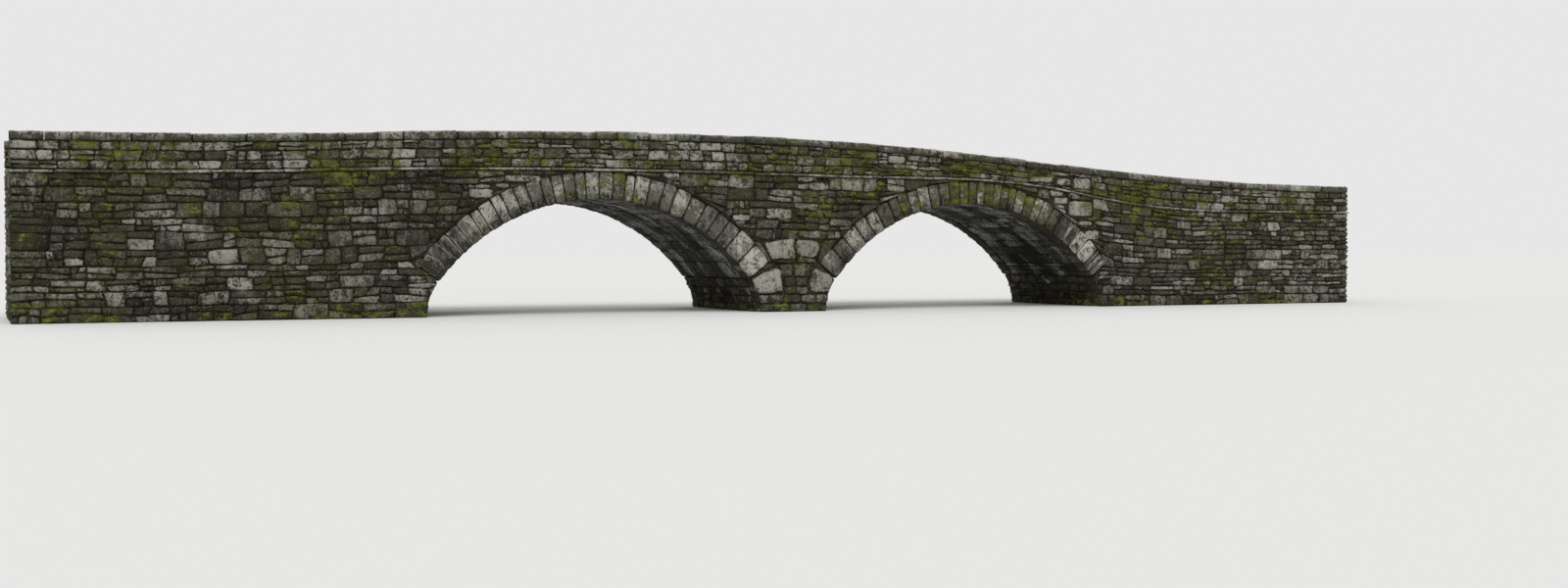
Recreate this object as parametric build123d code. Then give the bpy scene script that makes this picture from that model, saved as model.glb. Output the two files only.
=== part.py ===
from build123d import *
import math
import os

# An old granite road bridge of two arches, in millimetres.
# X runs along the road, Y across it from the front face to the back face, Z up from the water line.
# The origin is at the water line, under the middle of the pier.

# Whole bridge
bridge_length = 35000.0  # from one cut end of the approach walls to the other
bridge_width = 4400.0  # over the outer faces of the spandrel walls

# Arch openings: a wide main curve that tightens into a haunch curve above the water
arch_radius = 4730.0  # main curve, at the inner edge of the arch ring
crown_height = 2670.0  # inner edge of the ring over the water
springing_height = 800.0  # where the ring starts and the haunch curve ends
pier_width = 1830.0  # at the water line

# Arch rings and vaults
left_ring_depth = 640.0  # measured along the radius
right_ring_depth = 590.0
ring_width = 450.0  # how far a ring stone reaches into the bridge
vault_depth = 420.0
vault_recess = 30.0  # the vault lies this far above the ring's inner edge

# Pier and abutments
skewback_height = 1200.0  # top of the blocks that the rings spring from
abutment_length = 1480.0  # from the springing line to the back of the abutment

# Walls over the arches
wall_thickness = 500.0
crown_cover = 20.0  # mortar bed between a ring's crown and the string course
string_thickness = 70.0
string_projection = 60.0

# Parapets
parapet_thickness = 400.0
parapet_rise = 870.0  # from the string course over the left arch to the crest of the coping
coping_height = 200.0
coping_overhang = 40.0

# How the string course and the coping fall from their highest points to the two ends
string_left_fall = 250.0
string_right_fall = 750.0
string_right_start = 600.0  # the fall starts this far short of the right crown
string_right_run = 8600.0  # from there to the foot of the fall
coping_crest_offset = 2000.0  # crest of the coping, from the left crown towards the pier
coping_left_fall = 330.0
coping_right_fall = 950.0

# Values that follow from the ones above
half_length = bridge_length / 2
half_width = bridge_width / 2
wall_inside = half_width - wall_thickness
parapet_inside = half_width - parapet_thickness
curve_centre_height = crown_height - arch_radius
springing_rise = springing_height - curve_centre_height
springing_reach = math.sqrt(arch_radius**2 - springing_rise**2)
springing_angle = math.degrees(math.atan2(springing_rise, springing_reach))
haunch_radius = springing_height / math.sin(math.radians(springing_angle))
haunch_centre = springing_reach - haunch_radius * math.cos(math.radians(springing_angle))
opening_half_width = haunch_centre + haunch_radius
left_centre = -(pier_width / 2 + opening_half_width)
right_centre = pier_width / 2 + opening_half_width
abutment_face = right_centre + springing_reach
abutment_back = abutment_face + abutment_length
cut_margin = 500.0  # how far cutting shapes run past what they cut

# Knots of the two long curves: the line is level at each knot
string_top_left = crown_height + left_ring_depth + crown_cover + string_thickness
string_top_right = crown_height + right_ring_depth + crown_cover + string_thickness
string_foot = string_top_right - string_right_fall
string_knots = [
    (-half_length, string_top_left - string_left_fall),
    (left_centre, string_top_left),
    (right_centre - string_right_start, string_top_right),
    (right_centre - string_right_start + string_right_run, string_foot),
    (half_length, string_foot),
]
coping_crest = string_top_left + parapet_rise
coping_knots = [
    (-half_length, coping_crest - coping_left_fall),
    (left_centre + coping_crest_offset, coping_crest),
    (half_length, coping_crest - coping_right_fall),
]


def reverse_curve(start, end):
    # Two tangent arcs from one level point to another, or a straight line if they are as high.
    if abs(start[1] - end[1]) < 0.01:
        return [Line(start, end)]
    middle = ((start[0] + end[0]) / 2, (start[1] + end[1]) / 2)
    first = TangentArc(start, middle, tangent=(1, 0))
    return [first, TangentArc(middle, end, tangent=first % 1)]


def long_curve(knots, drop=0.0):
    lowered = [(x, z - drop) for x, z in knots]
    edges = []
    for start, end in zip(lowered, lowered[1:]):
        edges += reverse_curve(start, end)
    return edges


def band_face(lower, upper):
    # The elevation between two long curves, closed by a plumb line at each end.
    sides = [Line(lower[0] @ 0, upper[0] @ 0), Line(lower[-1] @ 1, upper[-1] @ 1)]
    return make_face(lower + upper + sides)


def across(face, y_from, y_to):
    # An elevation in X and Z, drawn out along Y.
    placed = Plane.XZ.offset(-y_from) * face
    return extrude(placed, amount=y_to - y_from, dir=(0, 1, 0))


def block(x_from, x_to, y_from, y_to, z_from, z_to):
    size = (x_to - x_from, y_to - y_from, z_to - z_from)
    middle = ((x_from + x_to) / 2, (y_from + y_to) / 2, (z_from + z_to) / 2)
    return Pos(*middle) * Box(*size)


def faces(thickness, projection=0.0):
    # Where a wall of the front and of the back lies across the road.
    outside = half_width + projection
    inside = half_width - thickness
    return (("front", -outside, -inside), ("back", inside, outside))


def stretch(x_from, x_to):
    # Everything between two plumb planes across the road.
    return block(x_from, x_to, -bridge_width, bridge_width, -cut_margin, coping_crest + cut_margin)


def opening_face(centre):
    # The clear opening of an arch, carried on below the water line.
    half = opening_half_width
    bend = math.radians(springing_angle / 2)
    bend_x = haunch_centre + haunch_radius * math.cos(bend)
    bend_z = haunch_radius * math.sin(bend)
    outline = [
        ThreePointArc((half, 0), (bend_x, bend_z), (springing_reach, springing_height)),
        ThreePointArc(
            (springing_reach, springing_height), (0, crown_height), (-springing_reach, springing_height)
        ),
        ThreePointArc((-springing_reach, springing_height), (-bend_x, bend_z), (-half, 0)),
        Line((-half, 0), (-half, -cut_margin)),
        Line((-half, -cut_margin), (half, -cut_margin)),
        Line((half, -cut_margin), (half, 0)),
    ]
    return Pos(centre, 0) * make_face(outline)


def ring_face(centre, inner_radius, outer_radius):
    # Part of a ring about the main curve's centre, between the two springing joints.
    turn = math.radians(springing_angle)
    corners = []
    for radius in (inner_radius, outer_radius):
        x = radius * math.cos(turn)
        z = curve_centre_height + radius * math.sin(turn)
        top = curve_centre_height + radius
        corners.append(((x, z), (0, top), (-x, z)))
    inner, outer = corners
    outline = [
        ThreePointArc(*inner),
        ThreePointArc(*outer),
        Line(inner[0], outer[0]),
        Line(inner[2], outer[2]),
    ]
    return Pos(centre, 0) * make_face(outline)


def arch_core(centre, ring_depth):
    # The opening with its rings and its vault: what piers, walls and filling stop at.
    inner_radius = arch_radius - cut_margin
    ring = ring_face(centre, inner_radius, arch_radius + ring_depth)
    vault = ring_face(centre, inner_radius, arch_radius + vault_recess + vault_depth)
    ring_inside = half_width - ring_width
    core = across(opening_face(centre), -bridge_width, bridge_width)
    core += across(ring, -bridge_width, -ring_inside)
    core += across(ring, ring_inside, bridge_width)
    return core + across(vault, -ring_inside, ring_inside)


def build_supports(cores):
    pier = block(left_centre, right_centre, -half_width, half_width, 0, skewback_height)
    left = block(-abutment_back, left_centre, -half_width, half_width, 0, skewback_height)
    right = block(right_centre, abutment_back, -half_width, half_width, 0, skewback_height)
    return {
        "pier": pier - cores[0] - cores[1],
        "left_abutment": left - cores[0],
        "right_abutment": right - cores[1],
    }


def build_arches():
    # Each ring is in two halves that meet at the crown.
    nodes = {}
    ring_inside = half_width - ring_width
    vault_radius = arch_radius + vault_recess
    arches = (("left", left_centre, left_ring_depth), ("right", right_centre, right_ring_depth))
    for side, centre, depth in arches:
        halves = {"left": (-half_length, centre), "right": (centre, half_length)}
        for face, y_from, y_to in faces(ring_width):
            ring = across(ring_face(centre, arch_radius, arch_radius + depth), y_from, y_to)
            for half, ends in halves.items():
                nodes[f"{side}_arch_ring_{face}_{half}_half"] = ring & stretch(*ends)
        vault = ring_face(centre, vault_radius, vault_radius + vault_depth)
        nodes[f"{side}_vault"] = across(vault, -ring_inside, ring_inside)
    return nodes


def below_string(y_from, y_to):
    # All that stands between the water line and the string course.
    ground = [Line((-half_length, 0), (half_length, 0))]
    elevation = band_face(ground, long_curve(string_knots, string_thickness))
    return across(elevation, y_from, y_to)


def without(shape, tools):
    for tool in tools:
        shape -= tool
    return shape


def build_walls(cores, supports):
    # Spandrel walls over the arches, and the approach walls beyond the abutments.
    stretches = {
        "approach_wall_left": (-half_length, -abutment_back),
        "spandrel_left": (-abutment_back, left_centre),
        "spandrel_middle": (left_centre, right_centre),
        "spandrel_right": (right_centre, abutment_back),
        "approach_wall_right": (abutment_back, half_length),
    }
    nodes = {}
    for face, y_from, y_to in faces(wall_thickness):
        wall = without(below_string(y_from, y_to), [*cores, *supports.values()])
        for name, ends in stretches.items():
            nodes[f"{face}_{name}"] = wall & stretch(*ends)
    return nodes


def build_filling(cores, supports):
    # Rubble and earth between the walls, over the vaults, up to the bed of the road.
    filling = without(below_string(-wall_inside, wall_inside), [*cores, *supports.values()])
    stretches = {
        "filling_left": (-half_length, left_centre),
        "filling_middle": (left_centre, right_centre),
        "filling_right": (right_centre, half_length),
    }
    return {name: filling & stretch(*ends) for name, ends in stretches.items()}


def build_string_and_road():
    elevation = band_face(long_curve(string_knots, string_thickness), long_curve(string_knots))
    nodes = {"road_bed": across(elevation, -parapet_inside, parapet_inside)}
    for face, y_from, y_to in faces(parapet_thickness, string_projection):
        nodes[f"{face}_string_course"] = across(elevation, y_from, y_to)
    return nodes


def build_parapets():
    wall = band_face(long_curve(string_knots), long_curve(coping_knots, coping_height))
    coping = band_face(long_curve(coping_knots, coping_height), long_curve(coping_knots))
    stretches = {
        "left": (-half_length, -abutment_face),
        "middle": (-abutment_face, abutment_face),
        "right": (abutment_face, half_length),
    }
    nodes = {}
    for face, y_from, y_to in faces(parapet_thickness):
        parapet = across(wall, y_from, y_to)
        top = across(coping, y_from - coping_overhang, y_to + coping_overhang)
        for name, ends in stretches.items():
            nodes[f"{face}_parapet_{name}"] = parapet & stretch(*ends)
            nodes[f"{face}_coping_{name}"] = top & stretch(*ends)
    return nodes


cores = [arch_core(left_centre, left_ring_depth), arch_core(right_centre, right_ring_depth)]
supports = build_supports(cores)
nodes = {
    **supports,
    **build_arches(),
    **build_walls(cores, supports),
    **build_filling(cores, supports),
    **build_string_and_road(),
    **build_parapets(),
}
os.makedirs("parts", exist_ok=True)
for name, shape in nodes.items():
    export_step(Compound(children=list(shape.solids())), f"parts/{name}.step")
print(len(nodes), "nodes")
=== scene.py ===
import bpy
import math
import numpy as np
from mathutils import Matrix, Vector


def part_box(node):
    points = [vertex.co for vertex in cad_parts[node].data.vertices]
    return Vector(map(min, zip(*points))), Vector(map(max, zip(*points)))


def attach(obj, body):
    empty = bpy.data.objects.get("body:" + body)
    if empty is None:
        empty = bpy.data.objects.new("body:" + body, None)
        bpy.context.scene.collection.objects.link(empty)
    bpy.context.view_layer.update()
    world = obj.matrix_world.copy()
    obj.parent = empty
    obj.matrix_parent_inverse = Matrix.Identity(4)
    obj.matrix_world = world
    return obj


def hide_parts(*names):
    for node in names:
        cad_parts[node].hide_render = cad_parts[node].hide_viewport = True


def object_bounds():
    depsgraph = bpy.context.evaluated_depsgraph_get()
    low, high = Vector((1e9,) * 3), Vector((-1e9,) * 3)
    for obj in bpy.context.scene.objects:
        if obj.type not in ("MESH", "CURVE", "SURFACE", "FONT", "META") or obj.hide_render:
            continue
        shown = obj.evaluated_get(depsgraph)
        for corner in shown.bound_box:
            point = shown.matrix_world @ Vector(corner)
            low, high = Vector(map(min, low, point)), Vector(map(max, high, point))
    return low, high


# An old granite road bridge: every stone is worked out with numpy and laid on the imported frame.
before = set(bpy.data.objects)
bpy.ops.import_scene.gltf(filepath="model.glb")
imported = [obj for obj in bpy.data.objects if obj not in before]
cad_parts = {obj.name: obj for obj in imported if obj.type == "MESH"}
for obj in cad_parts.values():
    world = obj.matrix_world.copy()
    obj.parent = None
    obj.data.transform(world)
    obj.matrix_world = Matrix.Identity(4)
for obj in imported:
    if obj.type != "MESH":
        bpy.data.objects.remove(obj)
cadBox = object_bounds()
print("frame:", len(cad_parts), "nodes")

# Measures that the frame's boxes don't give, in metres
bridge = {
    "archRadius": 4.73,  # main curve of both arches, at the inner edge of the ring stones
    "leftRingDepth": 0.64,
    "rightRingDepth": 0.59,
    "ringWidth": 0.45,  # how far a ring stone reaches into the bridge
    "vaultRecess": 0.03,
    "wallThickness": 0.50,
    "parapetThickness": 0.40,
    "copingHeight": 0.20,
    "stringThickness": 0.07,
    "rightFallStart": 0.60,  # string course: short of the right crown
    "rightFallRun": 8.60,
    "crestOffset": 2.00,  # coping: from the left crown towards the pier
}
seeds = {  # other numbers give other stones
    "rings": 100, "ringFaces": 110, "ringMortar": 111, "vaults": 200, "vaultMortar": 211, "walls": 300,
    "wallMortar": 311, "linings": 400, "pierMortar": 411, "parapets": 500, "parapetMortar": 511, "bars": 600,
    "ends": 700, "filling": 711, "road": 801, "courses": 11,
}


def lowest(node):
    # lowest corner of a node's box
    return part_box(node)[0]


def highest(node):
    # highest corner of a node's box
    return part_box(node)[1]


halfLength = highest("road_bed").x
halfWidth = highest("pier").y
skewTop = highest("pier").z
springHeight = lowest("left_arch_ring_front_left_half").z
archRadius = bridge["archRadius"]
curveCentre = highest("left_arch_ring_front_left_half").z - bridge["leftRingDepth"] - archRadius
springAngle = math.asin((springHeight - curveCentre) / archRadius)
springReach = archRadius * math.cos(springAngle)
haunchRadius = springHeight / math.sin(springAngle)
haunchCentre = springReach - haunchRadius * math.cos(springAngle)
archCentre = (lowest("right_vault").x + highest("right_vault").x) / 2
abutmentFace = archCentre + springReach
abutmentBack = highest("right_abutment").x
ringInside = halfWidth - bridge["ringWidth"]
parapetInside = halfWidth - bridge["parapetThickness"]
arches = {
    "left": {"x": -archCentre, "depth": bridge["leftRingDepth"]},
    "right": {"x": archCentre, "depth": bridge["rightRingDepth"]},
}
crownCover = highest("front_string_course").z - highest("left_arch_ring_front_left_half").z
rightTop = curveCentre + archRadius + bridge["rightRingDepth"] + crownCover
rightFoot = lowest("front_string_course").z + bridge["stringThickness"]
rightStart = archCentre - bridge["rightFallStart"]
stringKnots = [
    (-halfLength, lowest("front_parapet_left").z),
    (-archCentre, highest("front_string_course").z),
    (rightStart, rightTop),
    (rightStart + bridge["rightFallRun"], rightFoot),
    (halfLength, rightFoot),
]
copingKnots = [
    (-halfLength, lowest("front_coping_left").z + bridge["copingHeight"]),
    (-archCentre + bridge["crestOffset"], highest("front_coping_middle").z),
    (halfLength, lowest("front_coping_right").z + bridge["copingHeight"]),
]
tiny = 1e-6  # keeps divisors off nought


def levelLine(x, knots):
    # height of a line that lies level at each knot, with two arcs of radius
    # (run squared + drop squared) / (2 drop) between each two knots
    x = np.asarray(x, float)
    places, heights = np.array(knots).T
    i = np.clip(np.searchsorted(places, x, "right") - 1, 0, len(places) - 2)
    run = (places[i + 1] - places[i]) / 2
    drop = (heights[i + 1] - heights[i]) / 2
    radius = (run**2 + drop**2) / np.maximum(2 * np.abs(drop), tiny)
    first = x < places[i] + run
    along = np.clip(np.where(first, x - places[i], places[i + 1] - x), 0, run)
    bend = np.sign(drop) * (radius - np.sqrt(np.maximum(radius**2 - along**2, 0)))
    return np.where(first, heights[i] + bend, heights[i + 1] - bend)


def stringTop(x):
    # upper edge of the string course
    return levelLine(x, stringKnots)


def stringFoot(x):
    # lower edge of the string course
    return stringTop(x) - bridge["stringThickness"]


def copingTop(x):
    # upper edge of the coping
    return levelLine(x, copingKnots)


def copingFoot(x):
    # lower edge of the coping
    return copingTop(x) - bridge["copingHeight"]


def levelAt(height):
    # a line of the same height everywhere
    return lambda u: np.full(np.shape(u), float(height))


def smoothStep(value, low, high):
    # 3t^2 - 2t^3 between low and high
    t = np.clip((value - low) / (high - low), 0, 1)
    return t * t * (3 - 2 * t)


def between(first, second, share):
    # first * (1 - share) + second * share
    return first * (1 - share) + second * share


def lengthOf(vectors):
    # root of the sum of squares along the last axis
    return np.linalg.norm(vectors, axis=-1)


def waves(points, size, seed, octaves=3, directions=5):
    # sum of sin(k.p + phase) over random directions, each octave half as long and half as high as the one
    # before, over 4 so that it runs from about -1 to 1
    rng = np.random.default_rng(seed)
    total = np.zeros(points.shape[:-1])
    for octave in range(octaves):
        k = rng.normal(size=(directions, points.shape[-1]))
        k *= 2 * np.pi * 2**octave / size / lengthOf(k)[:, None]
        total += np.sin(points @ k.T + rng.uniform(0, 2 * np.pi, directions)).sum(-1) * 0.5**octave
    return total / 4


def blockedReach(z, depth):
    # half the width that an arch takes up at a height: root of (radius^2 - z^2) on the haunch arc and on the
    # ring's outer circle, and a straight line along the springing joint between them
    z = np.asarray(z, float)
    outer = archRadius + depth
    jointTop = curveCentre + outer * math.sin(springAngle)
    haunch = haunchCentre + np.sqrt(np.maximum(haunchRadius**2 - np.minimum(z, springHeight) ** 2, 0))
    joint = springReach + (z - springHeight) / math.tan(springAngle)
    circle = np.sqrt(np.maximum(outer**2 - (z - curveCentre) ** 2, 0))
    return np.where(z < springHeight, haunch, np.where(z < jointTop, joint, circle))


stoneLimits = {"gap": 0.024, "area": 0.010, "width": 0.045}  # gap to the arches, least area and width


def keepOutside(points):
    # moves points of the elevation out of both arches: along the radius above the pier's top, level below it
    points, gap = points.copy(), stoneLimits["gap"]
    for arch in arches.values():
        dx, dz = points[..., 0] - arch["x"], points[..., 1] - curveCentre
        outer = archRadius + arch["depth"] + gap
        distance = np.maximum(np.hypot(dx, dz), tiny)
        upper = points[..., 1] > skewTop
        push = upper & (distance < outer)
        reach = blockedReach(points[..., 1], arch["depth"]) + gap
        aside = ~upper & (np.abs(dx) < reach)
        newX = np.where(push, arch["x"] + dx / distance * outer, points[..., 0])
        newX = np.where(aside, arch["x"] + np.sign(dx) * reach, newX)
        points[..., 1] = np.where(push, curveCentre + dz / distance * outer, points[..., 1])
        points[..., 0] = newX
    return points


def fitCells(cells):
    # pushes the corners of cells off the arches, and drops the cells inside them and what is too small for a
    # stone: its area is half the cross product of its diagonals, and its width that over the longer diagonal
    pushed = keepOutside(cells)
    cells = pushed[(pushed == cells).all(-1).any(1)]
    across, up = cells[:, 2] - cells[:, 0], cells[:, 3] - cells[:, 1]
    area = np.abs(across[:, 0] * up[:, 1] - across[:, 1] * up[:, 0]) / 2
    longest = np.maximum(lengthOf(across), lengthOf(up))
    return cells[(area > stoneLimits["area"]) & (area / longest > stoneLimits["width"])]


# Places: each turns u and v on a face, and h out of the stone, into a point

def alongPlace(y, sign):
    # an upright face along the road at y, looking towards +y or -y
    return lambda u, v, h: np.stack([u, y + sign * h, v], -1)


def endPlace(x, sign):
    # an upright face across the road at x
    return lambda u, v, h: np.stack([x + sign * h, u, v], -1)


def ringPlace(centre, y, sign):
    # u is an angle times the arch radius, v a distance from the curve's centre
    def place(u, v, h):
        angle = u / archRadius
        return np.stack([centre + v * np.cos(angle), y + sign * h, curveCentre + v * np.sin(angle)], -1)
    return place


def vaultPlace(centre, radius):
    # u is an angle times the arch radius, v runs across the road, h towards the curve's centre
    def place(u, v, h):
        angle, distance = u / archRadius, radius - h
        return np.stack([centre + distance * np.cos(angle), v, curveCentre + distance * np.sin(angle)], -1)
    return place


def haunchPlace(centre, sign):
    # u runs across the road, v is a height on the haunch arc, h towards that arc's centre
    def place(u, v, h):
        sine = np.clip(v / haunchRadius, 0, 1)
        distance = haunchRadius - h
        x = centre + sign * (haunchCentre + distance * np.sqrt(1 - sine**2))
        return np.stack([x, u, distance * sine], -1)
    return place


faceSigns = {"front": -1, "back": 1}
facePlaces = {face: alongPlace(sign * halfWidth, sign) for face, sign in faceSigns.items()}


def turned(place, u, v, step=1e-3):
    # true where u, v and h are left-handed in a place, so that faces have to be turned over
    p = place(np.array([u, u + step, u, u]), np.array([v, v, v + step, v]), np.array([0, 0, 0, step]))
    return np.dot(np.cross(p[1] - p[0], p[2] - p[0]), p[3] - p[0]) < 0


def packPart(co, faces, count, smooth, flip, extra):
    # repeats one stone's faces for all stones, each moved on by a stone's vertices
    size = co.size // 3 // count
    faces = [list(reversed(f)) if flip else list(f) for f in faces]
    loops = np.concatenate([np.array(f) for f in faces])
    part = {
        "co": co.reshape(-1, 3),
        "loops": (loops[None, :] + (np.arange(count) * size)[:, None]).ravel(),
        "sizes": np.tile(np.array([len(f) for f in faces]), count),
        "smooth": np.tile(np.array(smooth), count),
    }
    for key, value in extra.items():
        part[key] = np.broadcast_to(value, (count, size)).ravel()
    return part


def borderOf(index):
    # the numbers round a grid of vertex numbers
    return np.concatenate([index[0, :-1], index[:-1, -1], index[-1, :0:-1], index[:0:-1, 0]])


stoneForm = {  # what all stones share: the first four are ranges of a factor on the piece's own value
    "joint": (0.6, 1.6), "round": (0.3, 1.6), "proud": (-0.3, 1.2), "belly": (0, 1.3),
    "cornerPower": 5, "rimPower": 4,  # how fast rounding and wear fade away from corners and rims
    "mostChamfer": 0.4, "mostMove": 0.45,  # shares of half a stone
    "taper": 0.975, "taperSpread": 0.004,  # of the sides behind the face
    "paleTone": 0.7, "paleChance": 0.15,  # least tone and most chance of a pale stone
}


def makeStones(cells, place, look, rng):
    # a stone is the bilinear sheet over its four corners less its joints, standing out by
    # (1 - e^(-2 d / chamfer)) (proud + belly (1 - a^2)(1 - b^2) + tilt + roughness), where d is the
    # distance to its rim and a and b run from -1 to 1; its sides go straight back from the rim
    cells = np.asarray(cells, float)
    count, n = len(cells), look["steps"] + 1
    lowLeft, lowRight, highRight, highLeft = cells.transpose(1, 0, 2)
    width = (lengthOf(lowRight - lowLeft) + lengthOf(highRight - highLeft)) / 2
    height = (lengthOf(highLeft - lowLeft) + lengthOf(highRight - lowRight)) / 2
    inner = np.linspace(-1, 1, n - 2)[None, :]
    edge = np.ones((count, 1))
    lines = []
    for size in (width, height):
        chamfer = np.minimum(2 * look["chamfer"] / size, stoneForm["mostChamfer"])[:, None]
        lines.append(np.concatenate([-edge, inner * (1 - chamfer), edge], 1))
    a = np.broadcast_to(lines[0][:, None, :], (count, n, n))
    b = np.broadcast_to(lines[1][:, :, None], (count, n, n))
    halfW, halfH = width[:, None, None] / 2, height[:, None, None] / 2
    nearRim = np.maximum(np.abs(a), np.abs(b)) ** stoneForm["rimPower"]

    def varied(key):
        # the piece's value times a factor for each stone
        return look[key] * rng.uniform(*stoneForm[key], (count, 1, 1))

    def moved(side, half):
        # a side's place from -1 to 1, drawn in by joint and rounded corners, with a wobble near the rim
        drawnIn = np.minimum((joint + corner) / half, stoneForm["mostMove"])
        wobble = rng.normal(0, look["wobble"], a.shape) * nearRim / half
        return ((side - side * drawnIn + wobble + 1) / 2)[..., None]

    joint = varied("joint") / 2
    corner = varied("round") * np.abs(a * b) ** stoneForm["cornerPower"]
    s = moved(a, halfW)
    t = moved(b, halfH)
    low = between(lowLeft[:, None, None], lowRight[:, None, None], s)
    high = between(highLeft[:, None, None], highRight[:, None, None], s)
    p = between(low, high, t)
    fromRim = np.minimum((1 - np.abs(a)) * halfW, (1 - np.abs(b)) * halfH)
    profile = 1 - np.exp(-2 * fromRim / look["chamfer"])
    out = varied("proud") + varied("belly") * (1 - a**2) * (1 - b**2)
    tiltA, tiltB = rng.normal(0, look["tilt"], (2, count, 1, 1))
    out = out + a * tiltA + b * tiltB + rng.normal(0, look["rough"], a.shape)
    h = np.minimum(-look["rim"] + profile * (look["rim"] + out), look["most"])
    index = np.arange(n * n).reshape(n, n)
    border = borderOf(index)
    flatP, flatH, flatB = p.reshape(count, -1, 2), h.reshape(count, -1), b.reshape(count, -1)
    around, rimCount = flatP[:, border], len(border)
    middle = around.mean(1, keepdims=True)
    allP, allH, allB = [flatP], [flatH], [flatB]
    for depth in look["sides"]:
        shrink = stoneForm["taper"] + rng.normal(0, stoneForm["taperSpread"], (count, rimCount, 1))
        allP.append(middle + (around - middle) * np.minimum(shrink, 1))
        allH.append(np.full((count, rimCount), -depth))
        allB.append(flatB[:, border])
    faces = [(index[j, i], index[j, i + 1], index[j + 1, i + 1], index[j + 1, i])
             for j in range(n - 1) for i in range(n - 1)]
    smooth = [True] * len(faces)
    ring = border
    for k in range(len(look["sides"])):
        deeper = n * n + k * rimCount + np.arange(rimCount)
        faces += zip(deeper, np.roll(deeper, -1), np.roll(ring, -1), ring)
        ring = deeper
    faces.append(tuple(ring[::-1]))
    smooth += [False] * (len(faces) - len(smooth))
    p, h = np.concatenate(allP, 1), np.concatenate(allH, 1)
    tone, chance = rng.uniform(0, 1, (2, count, 1))
    if look["pale"]:
        tone = stoneForm["paleTone"] + (1 - stoneForm["paleTone"]) * tone
        chance = stoneForm["paleChance"] * chance
    sideRim = np.full((count, p.shape[1] - n * n), look["sideRim"])
    extra = {
        "tone": tone, "chance": chance, "rim": np.concatenate([nearRim.reshape(count, -1), sideRim], 1),
        "across": np.concatenate(allB, 1), "stone": np.ones((count, 1)),
    }
    co = place(p[..., 0], p[..., 1], h)
    return packPart(co, faces, count, smooth, turned(place, *cells[0].mean(0)), extra)


def layStones(sets, place, rng):
    # stones for each set of cells that isn't empty, by the set's own look
    return [makeStones(cells, place, look, rng) for cells, look in sets if len(cells)]


barForm = {  # what all bars share: first the places, sizes and wear of the sections along one
    "along": (0, 0.02, 0.25, 0.5, 0.75, 0.98, 1), "pinch": (0.88, 1, 1, 1, 1, 1, 0.88),
    "worn": (1, 0.6, 0, 0, 0, 0.6, 1), "square": 0.35, "joint": (0.5, 1.6),
    # the crest tone is a painted highlight: the upper side of each bar is paler, eased in over the crest
    # range
    "roughUp": 0.8, "roughAlong": 0.6, "crestPaintedHighlight": 0.7, "crest": (0.4, 0.8),
}


def makeBars(cuts, line, low, high, look, rng):
    # a squarish section carried along x under line(x): |cos|^0.35 and |sin|^0.35 times its half sizes,
    # between low and high across the road, one bar between each two cuts
    count, points = len(cuts), look["points"]
    along, pinch = np.array(barForm["along"]), np.array(barForm["pinch"])[None, :, None]
    angle = (np.arange(points) + 0.5) * 2 * np.pi / points
    across = np.sign(np.cos(angle)) * np.abs(np.cos(angle)) ** barForm["square"]
    up = np.sign(np.sin(angle)) * np.abs(np.sin(angle)) ** barForm["square"]
    gap = look["joint"] / 2 * rng.uniform(*barForm["joint"], (count, 1))
    x = cuts[:, :1] + gap + (cuts[:, 1:] - cuts[:, :1] - 2 * gap) * along
    shape = (count, len(along), points)
    halfWide = (high - low) / 2 * rng.uniform(*look["widths"], (count, 1, 1))
    height = look["height"] * rng.uniform(*look["heights"], (count, 1, 1))
    rough = rng.normal(0, look["rough"], (3, *shape))
    y = (low + high) / 2 + across * halfWide * pinch + rng.normal(0, look["shift"], (count, 1, 1)) + rough[0]
    top = line(x)[:, :, None]
    lift = rng.normal(0, look["roll"], (count, 1, 1)) * across * halfWide
    z = top - look["height"] + height / 2 + up * height / 2 * pinch + lift + rough[1] * barForm["roughUp"]
    x = x[:, :, None] + rough[2] * barForm["roughAlong"]
    co = [np.clip(x, -halfLength, halfLength), np.clip(y, low, high), np.clip(z, top - look["height"], top)]
    index = np.arange(len(along) * points).reshape(len(along), points)
    faces = [(index[i, j], index[i + 1, j], index[i + 1, (j + 1) % points], index[i, (j + 1) % points])
             for i in range(len(along) - 1) for j in range(points)]
    faces += [tuple(index[0]), tuple(index[-1][::-1])]
    smooth = [True] * (len(faces) - 2) + [False] * 2
    everyUp = np.tile(up, len(along))[None, :]
    # painted highlight: paler tone on the upper side of each coping and string stone
    crest = barForm["crestPaintedHighlight"] * smoothStep(everyUp, *barForm["crest"])
    extra = {
        "tone": rng.uniform(*look["tones"], (count, 1)) + crest, "chance": rng.uniform(0, 1, (count, 1)),
        "rim": np.repeat(barForm["worn"], points)[None, :], "across": everyUp, "stone": np.ones((count, 1)),
    }
    return packPart(np.stack(co, -1), faces, count, smooth, True, extra)


def makeSolid(outside, inside, stone=0.0):
    # a closed shell between two grids of points, joined round their edges
    rows, columns = outside.shape[:2]
    first = outside[0, 0]
    flip = np.dot(np.cross(outside[0, 1] - first, outside[1, 0] - first), first - inside[0, 0]) < 0
    index = np.arange(rows * columns).reshape(rows, columns)
    quads = np.stack([index[:-1, :-1], index[:-1, 1:], index[1:, 1:], index[1:, :-1]], -1).reshape(-1, 4)
    border = borderOf(index)
    after, far = np.roll(border, -1), rows * columns
    sides = np.stack([border + far, after + far, after, border], -1)
    faces = np.concatenate([quads, quads[:, ::-1] + far, sides])
    if flip:
        faces = faces[:, ::-1]
    part = {
        "co": np.concatenate([outside.reshape(-1, 3), inside.reshape(-1, 3)]),
        "loops": faces.ravel(),
        "sizes": np.full(len(faces), 4),
        "smooth": np.arange(len(faces)) < 2 * len(quads),
    }
    for key, value in {"tone": 0.5, "chance": 0.5, "rim": 0.0, "across": 0.0, "stone": stone}.items():
        part[key] = np.full(2 * far, value)
    return part


# The mortar behind the stones of a face
bedding = {
    "sunk": 0.034, "uneven": 0.010, "waveLength": 0.5, "thick": bridge["wallThickness"],
    "spacing": 0.12, "fewest": 3,  # of its grid, and the fewest rows or columns
}


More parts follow.
